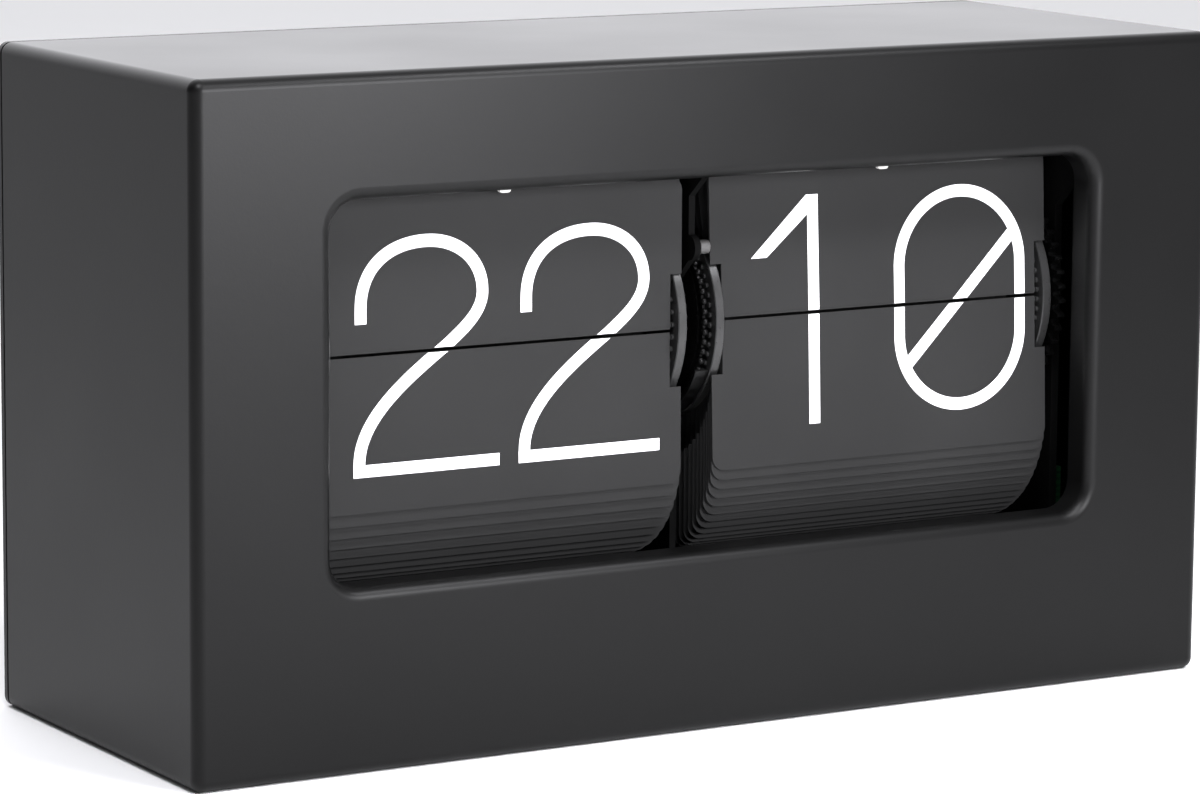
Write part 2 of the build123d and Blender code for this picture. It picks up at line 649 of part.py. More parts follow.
def make_frame():
    """Base, side plates, centre plate, top rail and the shaft with what holds it."""
    plate_z = BASE_Z + BASE_T
    with BuildPart() as base:
        with BuildSketch(Plane.XY.offset(BASE_Z)):
            with Locations((0, (BASE_FRONT_Y + BASE_BACK_Y) / 2)):
                RectangleRounded(BASE_W, BASE_BACK_Y - BASE_FRONT_Y, 2)
            with Locations(*[(side * POST_X, y) for side in (-1, 1) for y in POST_Y]):
                Circle(SCREW_R, mode=Mode.SUBTRACT)
        extrude(amount=BASE_T)
    save(base.part, "frame_base")
    top = [(12, RAIL_Z), (RAIL_FRONT_Y, RAIL_Z), (RAIL_FRONT_Y, 90)]
    top += [(BASE_FRONT_Y, 84), (BASE_FRONT_Y, plate_z)]
    left = [(BASE_BACK_Y, plate_z), (16, 62)] + top
    right = [(18, plate_z), (28, 34), (33, 58), (33, 78)] + top
    make_side_plate("frame_side_left", -1, left, [(AXIS, SHAFT_R)])
    make_side_plate(
        "frame_side_right",
        1,
        right,
        [
            (AXIS, SHAFT_R),
            (REDUCTION, ARBOR_R + RUNNING_GAP),
            (SETTING, ARBOR_R + RUNNING_GAP),
            (SETTING_IDLER, ARBOR_R),
        ],
    )
    with BuildPart() as centre:
        with BuildSketch(on_x(CENTRE_X)):
            with BuildLine():
                Polyline(
                    (-20, plate_z),
                    (4, plate_z),
                    (4, RAIL_Z),
                    (RAIL_FRONT_Y, RAIL_Z),
                    (RAIL_FRONT_Y, 94),
                    (GUIDE[0], 90),
                    (GUIDE[0], GUIDE[1] - GUIDE_BOSS_R),
                    (-20, 74),
                    close=True,
                )
            make_face()
            with Locations(GUIDE):
                Circle(GUIDE_BOSS_R)
            with Locations((sum(TENON_Y) / 2, RAIL_Z + RAIL_T / 2)):
                Rectangle(TENON_Y[1] - TENON_Y[0], RAIL_T)
            with Locations(AXIS):
                Circle(SHAFT_R, mode=Mode.SUBTRACT)
            with Locations(CARRY):
                Circle(CARRY_ARBOR_R + RUNNING_GAP, mode=Mode.SUBTRACT)
        extrude(amount=CENTRE_T)
        with BuildSketch(Plane.XY.offset(plate_z)):
            with Locations((CENTRE_X + CENTRE_T + 4, -8)):
                Rectangle(8, 20)
        extrude(amount=FOOT_T)
    save(centre.part, "frame_centre")
    with BuildPart() as rail:
        with BuildSketch(Plane.XY.offset(RAIL_Z)):
            with Locations((0, (RAIL_FRONT_Y + RAIL_BACK_Y) / 2)):
                Rectangle(2 * (SIDE_X + SIDE_T) + 4, RAIL_BACK_Y - RAIL_FRONT_Y)
            for x, t in ((-SIDE_X - SIDE_T, SIDE_T), (CENTRE_X, CENTRE_T), (SIDE_X, SIDE_T)):
                with Locations((x + t / 2, sum(TENON_Y) / 2)):
                    Rectangle(t + 2 * TENON_GAP, TENON_Y[1] - TENON_Y[0] + 2 * TENON_GAP, mode=Mode.SUBTRACT)
        extrude(amount=RAIL_T)
    save(rail.part, "top_rail")
    stops = []
    for x in STOP_X:
        with BuildPart() as stop:
            with BuildSketch(Plane.XY.offset(STOP_LOW_Z)):
                with Locations((x, STOP_Y + STOP_T / 2)):
                    Rectangle(STOP_W, STOP_T)
            extrude(amount=RAIL_Z - STOP_LOW_Z)
            with BuildSketch(Plane.XY.offset(RAIL_Z - STOP_T)):
                with Locations((x, STOP_Y + 2)):
                    Rectangle(STOP_W + 2, 4)
            extrude(amount=STOP_T)
            fillet(stop.edges().filter_by(Axis.Y).group_by(Axis.Z)[0], 0.6)
        stops.append(stop.part)
    save_group(stops, "leaf_stops")
    seat_z = BASE_Z + BASE_T + FOOT_T
    seats = [Plane(origin=(side * POST_X, y, seat_z)) for side in (-1, 1) for y in POST_Y]
    save_group([screw(seat, SCREW_LENGTH) for seat in seats], "frame_screws")
    with BuildPart() as shaft:
        with BuildSketch(on_x(-SIDE_X - SIDE_T - 2)):
            with Locations(AXIS):
                Circle(SHAFT_R)
        extrude(amount=2 * (SIDE_X + SIDE_T + 2))
    save(shaft.part, "drum_shaft")
    outer_x = SIDE_X + SIDE_T
    clips = [shaft_ring(-outer_x - CLIP_T, -outer_x), shaft_ring(outer_x, outer_x + CLIP_T)]
    save_group(clips, "shaft_clips")
    spacers = [
        shaft_ring(-SIDE_X, HOUR["x"] - DISC_PROUD - END_PLAY),
        shaft_ring(CENTRE_X + CENTRE_T, STAR_X - END_PLAY),
        shaft_ring(INNER_GEAR_X + GEAR_T + END_PLAY, SIDE_X),
    ]
    save_group(spacers, "shaft_spacers")


MINUTE_PHASE = REDUCTION_ANGLE
PINION_PHASE = meshed_phase(MINUTE_GEAR_TEETH, MINUTE_PHASE, REDUCTION_PINION_TEETH, REDUCTION_ANGLE)
WHEEL_PHASE = MOTOR_ANGLE
MOTOR_PHASE = meshed_phase(REDUCTION_WHEEL_TEETH, WHEEL_PHASE, MOTOR_PINION_TEETH, MOTOR_ANGLE)
IDLER_PHASE = meshed_phase(MINUTE_GEAR_TEETH, MINUTE_PHASE, SETTING_IDLER_TEETH, 0)
SETTING_PHASE = meshed_phase(SETTING_IDLER_TEETH, IDLER_PHASE, SETTING_GEAR_TEETH, 0)
HOUR_PHASE = CARRY_ANGLE
CARRY_PHASE = meshed_phase(HOUR_GEAR_TEETH, HOUR_PHASE, CARRY_TEETH, CARRY_ANGLE)


def make_drum_gears():
    """The gear on the outer end of the minute drum and the one on the inner end of the hour drum."""
    minute_face = MINUTE["x"] + LEAF_W + DISC_PROUD
    bore_r = SHAFT_R + RUNNING_GAP
    with BuildPart() as minute_gear:
        add_gear(AXIS, MINUTE_GEAR_TEETH, GEAR_MODULE, MINUTE_PHASE, INNER_GEAR_X, GEAR_T, bore_r)
        with BuildSketch(on_x(minute_face)):
            with Locations(AXIS):
                Circle(GEAR_HUB_R)
                Circle(bore_r, mode=Mode.SUBTRACT)
        extrude(amount=INNER_GEAR_X - minute_face)
    save(minute_gear.part, "minute_gear")
    hour_face = HOUR["x"] + LEAF_W + DISC_PROUD
    with BuildPart() as hour_gear:
        add_gear(AXIS, HOUR_GEAR_TEETH, FINE_MODULE, HOUR_PHASE, hour_face, HOUR_GEAR_T, bore_r)
    save(hour_gear.part, "hour_gear")


def make_drive():
    """The motor with its pinion, and the reduction wheel and pinion on one arbor through the side plate."""
    with BuildPart() as pinion:
        add_gear(REDUCTION, REDUCTION_PINION_TEETH, GEAR_MODULE, PINION_PHASE, INNER_GEAR_X, GEAR_T)
        add_rod(REDUCTION, ARBOR_R, INNER_GEAR_X, OUTER_GEAR_X + GEAR_T)
    save(pinion.part, "reduction_pinion")
    with BuildPart() as wheel:
        add_gear(REDUCTION, REDUCTION_WHEEL_TEETH, FINE_MODULE, WHEEL_PHASE, OUTER_GEAR_X, GEAR_T, ARBOR_R)
    save(wheel.part, "reduction_wheel")
    with BuildPart() as motor_pinion:
        add_gear(MOTOR, MOTOR_PINION_TEETH, FINE_MODULE, MOTOR_PHASE, OUTER_GEAR_X, GEAR_T)
        add_rod(MOTOR, MOTOR_SHAFT_R, OUTER_GEAR_X, MOTOR_X + MOTOR_SHAFT_DEPTH)
    save(motor_pinion.part, "motor_pinion")
    ears = [away(MOTOR, MOTOR_EAR_DISTANCE, MOTOR_ANGLE + side * 90) for side in (-1, 1)]
    with BuildPart() as motor:
        add_rod(MOTOR, MOTOR_R, MOTOR_X, MOTOR_X + MOTOR_L)
        for ear in ears:
            add_rod(ear, MOTOR_EAR_R, MOTOR_X, MOTOR_X + MOTOR_EAR_T)
            add_rod(ear, MOTOR_POST_R, SIDE_X + SIDE_T, MOTOR_X)
        with BuildSketch(on_x(MOTOR_X)):
            with Locations(MOTOR):
                Circle(MOTOR_SHAFT_R + RUNNING_GAP)
        extrude(amount=MOTOR_SHAFT_DEPTH + 1, mode=Mode.SUBTRACT)
    save(motor.part, "motor_housing")


def make_setting_train():
    """The wheel turned by hand at the back, its gear, and the idler between that and the minute drum."""
    bore_r = ARBOR_R + RUNNING_GAP
    with BuildPart() as idler:
        add_gear(SETTING_IDLER, SETTING_IDLER_TEETH, GEAR_MODULE, IDLER_PHASE, INNER_GEAR_X, GEAR_T, bore_r)
    save(idler.part, "setting_idler")
    with BuildPart() as stud:
        add_rod(SETTING_IDLER, SCREW_HEAD_R, INNER_GEAR_X - 0.6, INNER_GEAR_X - 0.1)
        add_rod(SETTING_IDLER, ARBOR_R, INNER_GEAR_X - 0.6, SIDE_X + SIDE_T)
        add_rod(SETTING_IDLER, SCREW_HEAD_R, INNER_GEAR_X + GEAR_T + 0.1, SIDE_X)
    save(stud.part, "idler_stud")
    with BuildPart() as gear:
        add_gear(SETTING, SETTING_GEAR_TEETH, GEAR_MODULE, SETTING_PHASE, INNER_GEAR_X, GEAR_T)
        add_rod(SETTING, ARBOR_R, INNER_GEAR_X, WHEEL_X + WHEEL_W)
    save(gear.part, "setting_gear")
    with BuildPart() as wheel:
        with BuildSketch(on_x(WHEEL_X)):
            with Locations(SETTING):
                Circle(WHEEL_R)
                Circle(ARBOR_R, mode=Mode.SUBTRACT)
                with PolarLocations(WHEEL_R + GRIP_R / 2, WHEEL_GRIPS):
                    Circle(GRIP_R, mode=Mode.SUBTRACT)
        extrude(amount=WHEEL_W)
    save(wheel.part, "setting_wheel")


def make_star_wheel():
    """The star wheel with its hub against the minute drum, and the two fingers that push the carry cam."""
    disc_face = MINUTE["x"] - DISC_PROUD
    bore_r = SHAFT_R + RUNNING_GAP
    with BuildPart() as star:
        with BuildSketch(on_x(STAR_X)):
            with Locations(AXIS):
                Circle(STAR_BODY_R)
                with PolarLocations(STAR_R, STAR_TEETH, start_angle=180 + STAR_PHASE):
                    Circle(STAR_TOOTH_R)
        extrude(amount=STAR_T)
        add_rod(AXIS, STAR_HUB_R, STAR_X + STAR_T, disc_face)
        for angle in (FINGER_ANGLE, FINGER_ANGLE + 180):
            add_rod(away(AXIS, FINGER_AT, angle), FINGER_R, FINGER_X, STAR_X)
        with BuildSketch(on_x(STAR_X)):
            with Locations(AXIS):
                Circle(bore_r)
        extrude(amount=disc_face - STAR_X, mode=Mode.SUBTRACT)
    save(star.part, "minute_star_wheel")


def make_carry():
    """The cam that the fingers push, and its pinion on the hour gear, on one arbor."""
    with BuildPart() as pinion:
        add_gear(CARRY, CARRY_TEETH, FINE_MODULE, CARRY_PHASE, CARRY_PINION_X, CARRY_PINION_T)
        add_rod(CARRY, CARRY_ARBOR_R, CARRY_PINION_X, CARRY_CAM_X + CARRY_CAM_T)
    save(pinion.part, "carry_pinion")
    with BuildPart() as cam:
        with BuildSketch(on_x(CARRY_CAM_X)):
            with Locations(CARRY):
                Circle(CARRY_LOBE_AT)
                with PolarLocations(CARRY_LOBE_AT, CARRY_LOBES, start_angle=CARRY_LOBE_PHASE):
                    Circle(CARRY_LOBE_R)
                Circle(CARRY_ARBOR_R, mode=Mode.SUBTRACT)
        extrude(amount=CARRY_CAM_T)
    save(cam.part, "carry_cam")


def make_detent():
    """A curved spring strip round the lower front of the star wheel, and the leaf guide peg above it."""
    plate_x = CENTRE_X + CENTRE_T
    reach = 2 * DETENT_R
    with BuildPart() as detent:
        with BuildSketch(on_x(plate_x)):
            with Locations(AXIS):
                Circle(DETENT_R + DETENT_T)
                Circle(DETENT_R, mode=Mode.SUBTRACT)
            with BuildLine():
                Polyline(AXIS, away(AXIS, reach, DETENT_FROM), away(AXIS, reach, DETENT_TO), close=True)
            make_face(mode=Mode.INTERSECT)
        extrude(amount=MINUTE["x"] - DISC_PROUD - 0.2 - plate_x)
        add_rod(away(AXIS, DETENT_R + LUG_R, DETENT_TO - 6), LUG_R, plate_x, plate_x + 0.5)
    save(detent.part, "detent_spring")
    with BuildPart() as guide:
        add_rod(GUIDE, GUIDE_R, GUIDE_X, GUIDE_END_X)
        fillet(guide.edges().filter_by(GeomType.CIRCLE), 0.25)
        add_rod(GUIDE, GUIDE_STEM_R, plate_x, GUIDE_X)
    save(guide.part, "leaf_guide")


def make_board():
    """The control board on two standoffs, and the components on its face."""
    low_z, high_z = BOARD_Z - BOARD_H / 2, BOARD_Z + BOARD_H / 2
    with BuildPart() as board:
        with BuildSketch(on_x(BOARD_X)):
            with Locations((BOARD_Y, BOARD_Z)):
                Rectangle(BOARD_W, BOARD_H)
        extrude(amount=BOARD_T)
        for z in (low_z + 3, high_z - 3):
            add_rod((BOARD_Y, z), STANDOFF_R, SIDE_X + SIDE_T, BOARD_X)
    save(board.part, "control_board")
    components = []
    for width, height, thickness, y, z in COMPONENTS:
        with BuildPart() as component:
            with BuildSketch(on_x(BOARD_X + BOARD_T)):
                with Locations((BOARD_Y + y, BOARD_Z + z)):
                    RectangleRounded(width, height, width * 0.15)
            extrude(amount=thickness)
        components.append(component.part)
    save_group(components, "board_components")


make_shell()
make_back_panel()
make_battery_bay()
make_frame()
for drum in (HOUR, MINUTE):
    make_drum(drum)
    make_leaves(drum)
make_drum_gears()
make_drive()
make_setting_train()
make_star_wheel()
make_carry()
make_detent()
make_board()
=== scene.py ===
"""Looks of the flip number clock: materials, printed numbers, studio light and camera.

Lengths are metres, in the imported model's frame: +X to the viewer's right, +Y to the back, +Z up.
MM turns a size given in millimetres into metres.
"""

import json
import math

import bmesh
import bpy
from mathutils import Matrix, Vector


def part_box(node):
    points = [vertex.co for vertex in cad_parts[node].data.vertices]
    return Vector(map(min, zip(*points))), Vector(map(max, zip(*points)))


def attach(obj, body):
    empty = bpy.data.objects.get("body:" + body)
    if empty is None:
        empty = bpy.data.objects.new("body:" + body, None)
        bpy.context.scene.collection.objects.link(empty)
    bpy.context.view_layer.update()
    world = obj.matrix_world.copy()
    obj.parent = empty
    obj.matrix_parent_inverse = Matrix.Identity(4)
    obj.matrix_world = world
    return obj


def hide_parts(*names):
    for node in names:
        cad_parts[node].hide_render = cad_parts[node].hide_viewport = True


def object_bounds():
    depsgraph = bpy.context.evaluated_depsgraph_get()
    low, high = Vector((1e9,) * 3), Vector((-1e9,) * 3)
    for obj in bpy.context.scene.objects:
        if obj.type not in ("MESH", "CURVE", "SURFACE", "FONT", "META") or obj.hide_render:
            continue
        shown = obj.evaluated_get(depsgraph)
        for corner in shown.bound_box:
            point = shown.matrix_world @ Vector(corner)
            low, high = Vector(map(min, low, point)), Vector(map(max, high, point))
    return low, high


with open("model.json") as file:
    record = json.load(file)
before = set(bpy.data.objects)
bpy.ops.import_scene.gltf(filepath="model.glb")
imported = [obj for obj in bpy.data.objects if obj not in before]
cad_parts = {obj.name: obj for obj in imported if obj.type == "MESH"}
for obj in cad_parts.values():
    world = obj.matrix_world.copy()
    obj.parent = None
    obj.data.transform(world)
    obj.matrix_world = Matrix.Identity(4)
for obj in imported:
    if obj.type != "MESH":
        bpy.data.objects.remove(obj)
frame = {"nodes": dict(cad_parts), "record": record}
cad_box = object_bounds()

MM = 0.001
JOINTS = {joint["name"]: joint for joint in frame["record"]["behaviour"]["joints"]}
NODES = frame["nodes"]

# The studio: where its backdrop stands, and how bright it and the room are
BACKDROP_SIDE = (0.5, 0.85, 0.25)
BACKDROP_LIGHT = 3.3
BACKDROP_EDGE = (0.35, 0.95)
ROOM_LIGHT = 0.08
LIGHT_COLOUR = (0.965, 0.965, 1.0)
FLOOR_SIZE = 30

# Soft lights: name, place, the point that each faces, width and height in metres, power in watts
SOFTBOXES = (
    ("key", (0.04, -0.32, 0.14), (-0.08, 0, 0.10), 0.10, 0.08, 1.4),
    ("upper_left", (-0.2, -0.45, 0.8), (0, 0, 0.05), 0.3, 0.3, 7),
    ("high", (0.12, -0.22, 0.32), (-0.05, -0.03, 0.03), 0.06, 0.06, 0.8),
    ("overhead", (-0.3, 0.1, 1.0), (-0.1, -0.2, 0), 1.2, 1.2, 2),
)

# The camera: angles in degrees, its place across, up and back from the clock in millimetres, its lens
CAMERA_AZIMUTH = -30.742
CAMERA_ELEVATION = 9.243
CAMERA_ROLL = 0.455
CAMERA_ACROSS = -2.571
CAMERA_RISE = -5.62
CAMERA_DISTANCE = 879.06
CAMERA_LENS = 150.96
CAMERA_SENSOR = 36

# How far the values of a noise reach, near enough
NOISE_LOW = 0.3
NOISE_HIGH = 0.7
PLASTIC_IOR = 1.5

# Printed numbers, in millimetres on the leaves. NUMBER_SHIFT is from a first digit to a second,
# and NUMBER_MOVE takes every digit that far to the right and up.
STROKE = 2.15
FOOT_BAR = 2.06
NUMBER_LOW = 46.6
NUMBER_SHIFT = 31.2
NUMBER_MOVE = (-0.35, 0.45)
PRINT_T = 0.008
CURVE_STEPS = 24
RING_STEPS = 96
MERGE = 0.002

# How far the print stays from the split, on the leaves that show and on the ones that show next
PRINT_MARGIN = 0.12
HINGE_MARGIN = 0.7

# The leaves: their thickness in millimetres, and how far the upper ones and the lower ones
# are from upright, in degrees
LEAF_T = 0.1
LEAN = {"hour": 0.5, "minute": 3.2}
HANG = {"hour": 1.0, "minute": 2.4}

# A swinging leaf's joint has a range that is this many degrees wider than its swing
RANGE_SLACK = 0.01

# Star wheel, in millimetres and degrees: its rim carries a ring of round beads. RIM_BEVEL is along
# the shaft and in radius.
BEADS = 60
SIDES_PER_BEAD = 3
BEAD_SIDES = (20, 12)
BEAD_RING_R = 16.7
BEAD_R = 0.64
BEAD_PHASE = 4.5
WEB_R = 16.45
WEB_X = (1.55, 2.05)
RIM_R = 15.2
RIM_BEVEL = (0.1, 0.3)
RIM_X = (1.2, 2.4)
HUB_R = 12.0
HUB_BEVEL = 0.1
BORE_R = 2.12
FINGERS = (-60, 120)
FINGER_RING_R = 14.6
FINGER_R = 0.8
FINGER_SIDES = 32
SMOOTH_ANGLE = 50


# ---------------------------------------------------------------- materials


class Finish:
    """A Principled material with helpers for its procedural detail."""

    def __init__(self, name, roughness, metallic=0.0, specular=0.5):
        self.material = bpy.data.materials.new(name)
        self.material.use_nodes = True
        self.nodes = self.material.node_tree.nodes
        self.links = self.material.node_tree.links
        self.shader = self.nodes["Principled BSDF"]
        self.shader.inputs["Roughness"].default_value = roughness
        self.shader.inputs["Metallic"].default_value = metallic
        self.shader.inputs["Specular IOR Level"].default_value = specular
        self.shader.inputs["IOR"].default_value = PLASTIC_IOR
        self.place = self.nodes.new("ShaderNodeTexCoord").outputs["Object"]

    def noise(self, scale, detail, stretch=(1, 1, 1)):
        """Noise over the surface. Scale is in features per metre."""
        mapping = self.nodes.new("ShaderNodeMapping")
        mapping.inputs["Scale"].default_value = stretch
        noise = self.nodes.new("ShaderNodeTexNoise")
        noise.inputs["Scale"].default_value = scale
        noise.inputs["Detail"].default_value = detail
        self.links.new(self.place, mapping.inputs["Vector"])
        self.links.new(mapping.outputs["Vector"], noise.inputs["Vector"])
        return noise.outputs["Fac"]

    def cells(self, scale):
        """Distance to the nearest of many scattered points."""
        voronoi = self.nodes.new("ShaderNodeTexVoronoi")
        voronoi.inputs["Scale"].default_value = scale
        self.links.new(self.place, voronoi.inputs["Vector"])
        return voronoi.outputs["Distance"]

    def bands(self, scale, direction, distortion):
        """Bands across one axis, bent by the distortion."""
        wave = self.nodes.new("ShaderNodeTexWave")
        wave.bands_direction = direction
        wave.inputs["Scale"].default_value = scale
        wave.inputs["Distortion"].default_value = distortion
        self.links.new(self.place, wave.inputs["Vector"])
        return wave.outputs["Fac"]

    def ramp(self, source, stops):
        """Colours by the value of source. Stops are (value, colour)."""
        ramp = self.nodes.new("ShaderNodeValToRGB")
        while len(ramp.color_ramp.elements) < len(stops):
            ramp.color_ramp.elements.new(0.5)
        for element, (value, colour) in zip(ramp.color_ramp.elements, stops):
            element.position = value
            element.color = (*colour, 1)
        self.links.new(source, ramp.inputs["Fac"])
        return ramp.outputs["Color"]

    def colour(self, source):
        self.links.new(source, self.shader.inputs["Base Color"])

    def shade(self, source, low, high, warmth=0.0):
        """Greys from low to high, by the value of source."""
        stops = ((NOISE_LOW, grey(low, warmth)), (NOISE_HIGH, grey(high, warmth)))
        self.colour(self.ramp(source, stops))

    def roughness(self, source, low, high):
        """Roughness between low and high, by the value of source."""
        spread = self.nodes.new("ShaderNodeMapRange")
        spread.inputs["From Min"].default_value = NOISE_LOW
        spread.inputs["From Max"].default_value = NOISE_HIGH
        spread.inputs["To Min"].default_value = low
        spread.inputs["To Max"].default_value = high
        self.links.new(source, spread.inputs["Value"])
        self.links.new(spread.outputs["Result"], self.shader.inputs["Roughness"])

    def bumps(self, *layers):
        """Relief from layers of (source, height in metres, strength)."""
        normal = None
        for source, height, strength in layers:
            bump = self.nodes.new("ShaderNodeBump")
            bump.inputs["Distance"].default_value = height
            bump.inputs["Strength"].default_value = strength
            self.links.new(source, bump.inputs["Height"])
            if normal:
                self.links.new(normal, bump.inputs["Normal"])
            normal = bump.outputs["Normal"]
        self.links.new(normal, self.shader.inputs["Normal"])


def grey(value, warmth=0.0):
    return (value * (1 + warmth), value, value * (1 - warmth))


def lacquer():
    """Soft-sheen dark lacquer with a fine spray texture."""
    finish = Finish("case_lacquer", 0.42, specular=0.185)
    cloud = finish.noise(18, 3)
    spray = finish.noise(2600, 2)
    finish.shade(cloud, 0.0015, 0.0025)
    finish.roughness(cloud, 0.4, 0.44)
    finish.bumps((spray, 0.00003, 0.25), (finish.noise(420, 2), 0.00006, 0.12))
    return finish.material


def moulded(name, low, high, roughness, grain, warmth=0.0, relief=0.3, specular=0.5):
    """Moulded plastic: slight cloudiness of colour, a fine spark-eroded grain."""
    finish = Finish(name, roughness, specular=specular)
    cloud = finish.noise(60, 3)
    fine = finish.noise(grain, 2)
    finish.shade(cloud, low, high, warmth)
    finish.roughness(fine, roughness - 0.05, roughness + 0.06)
    finish.bumps((fine, 0.00002, relief))
    return finish.material


def leaf_plastic():
    """Matt black leaf sheet with a very fine tooth."""
    finish = Finish("leaf_black", 0.6, specular=0.1)
    cloud = finish.noise(35, 3)
    tooth = finish.noise(5200, 2)
    finish.shade(cloud, 0.017, 0.020)
    finish.roughness(tooth, 0.52, 0.62)
    finish.bumps((tooth, 0.000012, 0.3))
    return finish.material


def printed_white():
    """White screen print: thick ink with a faint mesh texture."""
    finish = Finish("number_print", 0.5)
    mesh = finish.noise(4000, 2)
    finish.shade(mesh, 0.9, 0.95)
    finish.roughness(mesh, 0.42, 0.55)
    finish.bumps((mesh, 0.000006, 0.3))
    return finish.material


def metal(name, low, high, roughness, stretch, warmth=0.0):
    """Metal with a brushed or turned grain along one axis."""
    finish = Finish(name, roughness, metallic=1.0)
    grain = finish.noise(900, 4, stretch)
    stain = finish.noise(90, 3)
    finish.shade(stain, low, high, warmth)
    finish.roughness(grain, roughness - 0.08, roughness + 0.1)
    finish.bumps((grain, 0.00001, 0.25))
    return finish.material


def enamel_with_painted_shade():
    """Black stove enamel on sheet steel, with small runs and specks. Its colour is darker than the
    enamel itself: painted shade for the frame inside the case.
    """
    finish = Finish("frame_steel", 0.75, specular=0.05)
    specks = finish.cells(1400)
    cloud = finish.noise(70, 3)
    # Near black greys, darker than real enamel: painted shade for the frame inside the case
    finish.shade(cloud, 0.001, 0.003)
    finish.roughness(cloud, 0.7, 0.8)
    finish.bumps((specks, 0.00002, 0.3))
    return finish.material


def brass():
    finish = Finish("brass_pinion", 0.3, metallic=1.0)
    stain = finish.noise(300, 4)
    finish.colour(finish.ramp(stain, ((0.35, (0.62, 0.42, 0.16)), (0.65, (0.82, 0.6, 0.27)))))
    finish.roughness(stain, 0.24, 0.4)
    finish.bumps((finish.noise(4000, 2, (0.1, 1, 1)), 0.000008, 0.3))
    return finish.material


def cell_sleeve():
    """Shrink sleeve of a battery cell: a dark body and a coloured band, glossy, with fine wrinkles."""
    finish = Finish("cell_label", 0.25)
    position = finish.nodes.new("ShaderNodeSeparateXYZ")
    finish.links.new(finish.place, position.inputs["Vector"])
    along = finish.nodes.new("ShaderNodeMapRange")
    low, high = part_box("battery_cells")
    along.inputs["From Min"].default_value = low[0]
    along.inputs["From Max"].default_value = high[0]
    finish.links.new(position.outputs["X"], along.inputs["Value"])
    dark, band = (0.012, 0.016, 0.024), (0.55, 0.24, 0.05)
    stops = ((0.0, grey(0.6)), (0.02, grey(0.6)), (0.025, band), (0.3, band), (0.31, dark), (1.0, dark))
    finish.colour(finish.ramp(along.outputs["Result"], stops))
    finish.roughness(finish.noise(200, 3), 0.18, 0.32)
    finish.bumps((finish.noise(700, 3, (0.2, 1, 1)), 0.00003, 0.2))
    return finish.material


def solder_mask_with_painted_shade():
    """Green board with faint copper tracks under the mask. Its greens are much darker than the mask
    itself: painted shade for the board inside the case.
    """
    finish = Finish("board_green", 0.3)
    tracks = finish.bands(260, "Z", 3.0)
    # Very dark greens: painted shade on the board, which sits in shade inside the case
    finish.colour(finish.ramp(tracks, ((0.42, (0.002, 0.014, 0.006)), (0.5, (0.006, 0.034, 0.012)))))
    finish.roughness(finish.noise(500, 3), 0.25, 0.4)
    finish.bumps((tracks, 0.00003, 0.4))
    return finish.material


def make_materials():
    """The material for each of the record's slots."""
    return {
        "case_lacquer": lacquer(),
        "leaf_black": leaf_plastic(),
        "disc_black": moulded("disc_black", 0.012, 0.018, 0.32, 2600),
        "frame_steel": enamel_with_painted_shade(),
        "bright_steel": metal("bright_steel", 0.5, 0.62, 0.3, (0.05, 1, 1)),
        "screw_steel": metal("screw_steel", 0.12, 0.2, 0.36, (1, 0.1, 1)),
        "white_nylon": moulded("white_nylon", 0.62, 0.7, 0.45, 2400, 0.03),
        "gear_white": moulded("gear_white", 0.6, 0.68, 0.5, 2600, 0.05),
        # gear_black's near black grey, darker than real black plastic, is painted shade for the gears
        # and beads inside the case
        "gear_black": moulded("gear_black", 0.001, 0.002, 0.3, 2600, relief=0.05, specular=0.12),
        "brass_pinion": brass(),
        "motor_can": metal("motor_can", 0.45, 0.58, 0.34, (0.1, 1, 1)),
        "wheel_black": moulded("wheel_black", 0.016, 0.024, 0.5, 2200),
        "tray_plastic": moulded("tray_plastic", 0.02, 0.03, 0.5, 1800),
        "cell_label": cell_sleeve(),
        "contact_nickel": metal("contact_nickel", 0.6, 0.72, 0.22, (1, 1, 0.1), 0.03),
        "board_green": solder_mask_with_painted_shade(),
        "chip_black": moulded("chip_black", 0.012, 0.018, 0.55, 3200),
    }


def dress_frame(materials):
    """Gives every CAD node the material of its slot, and two of them their own."""
    for row in frame["record"]["subparts"]:
        node = NODES[row["node"]]
        if not node.material_slots:
            node.data.materials.append(materials[row["material_slot"]])
        for holder in node.material_slots:
            holder.material = materials[row["material_slot"]]
    own = {
        "leaf_guide": moulded("guide_nylon", 0.05, 0.065, 0.4, 2400, 0.02),
        "detent_spring": metal("blued_spring", 0.03, 0.05, 0.4, (0.1, 1, 1)),
    }
    for name, material in own.items():
        for holder in NODES[name].material_slots:
            holder.material = material


# ---------------------------------------------------------------- printed numbers


def bezier(start, first, second, end):
    """Points of a cubic curve, without its start."""
    points = []
    corners = (start, first, second, end)
    for step in range(1, CURVE_STEPS + 1):
        t = step / CURVE_STEPS
        u = 1 - t
        weights = (u * u * u, 3 * u * u * t, 3 * u * t * t, t * t * t)
        points.append(tuple(sum(w * c[axis] for w, c in zip(weights, corners)) for axis in (0, 1)))
    return points


def two_outline(shift):
    """A 2 as one curved stroke, and the bar at its foot."""
    line = [(-63.85, 72.0), (-63.85, 74.5)]
    line += bezier(line[-1], (-63.85, 81.1), (-59.1, 85.15), (-51.6, 85.15))
    line += bezier(line[-1], (-45.5, 85.15), (-41.0, 81.3), (-41.0, 76.2))
    line += bezier(line[-1], (-41.0, 72.6), (-44.5, 70.1), (-48.0, 67.4))
    line += bezier(line[-1], (-56.0, 62.0), (-64.2, 56.1), (-64.2, 48.66))
    line = [(x + shift, z) for x, z in line]
    low = NUMBER_LOW
    left, right = -65.3 + shift, -37.8 + shift
    bar = [[(left, low), (right, low), (right, low + FOOT_BAR), (left, low + FOOT_BAR)]]
    return ribbon(line) + bar


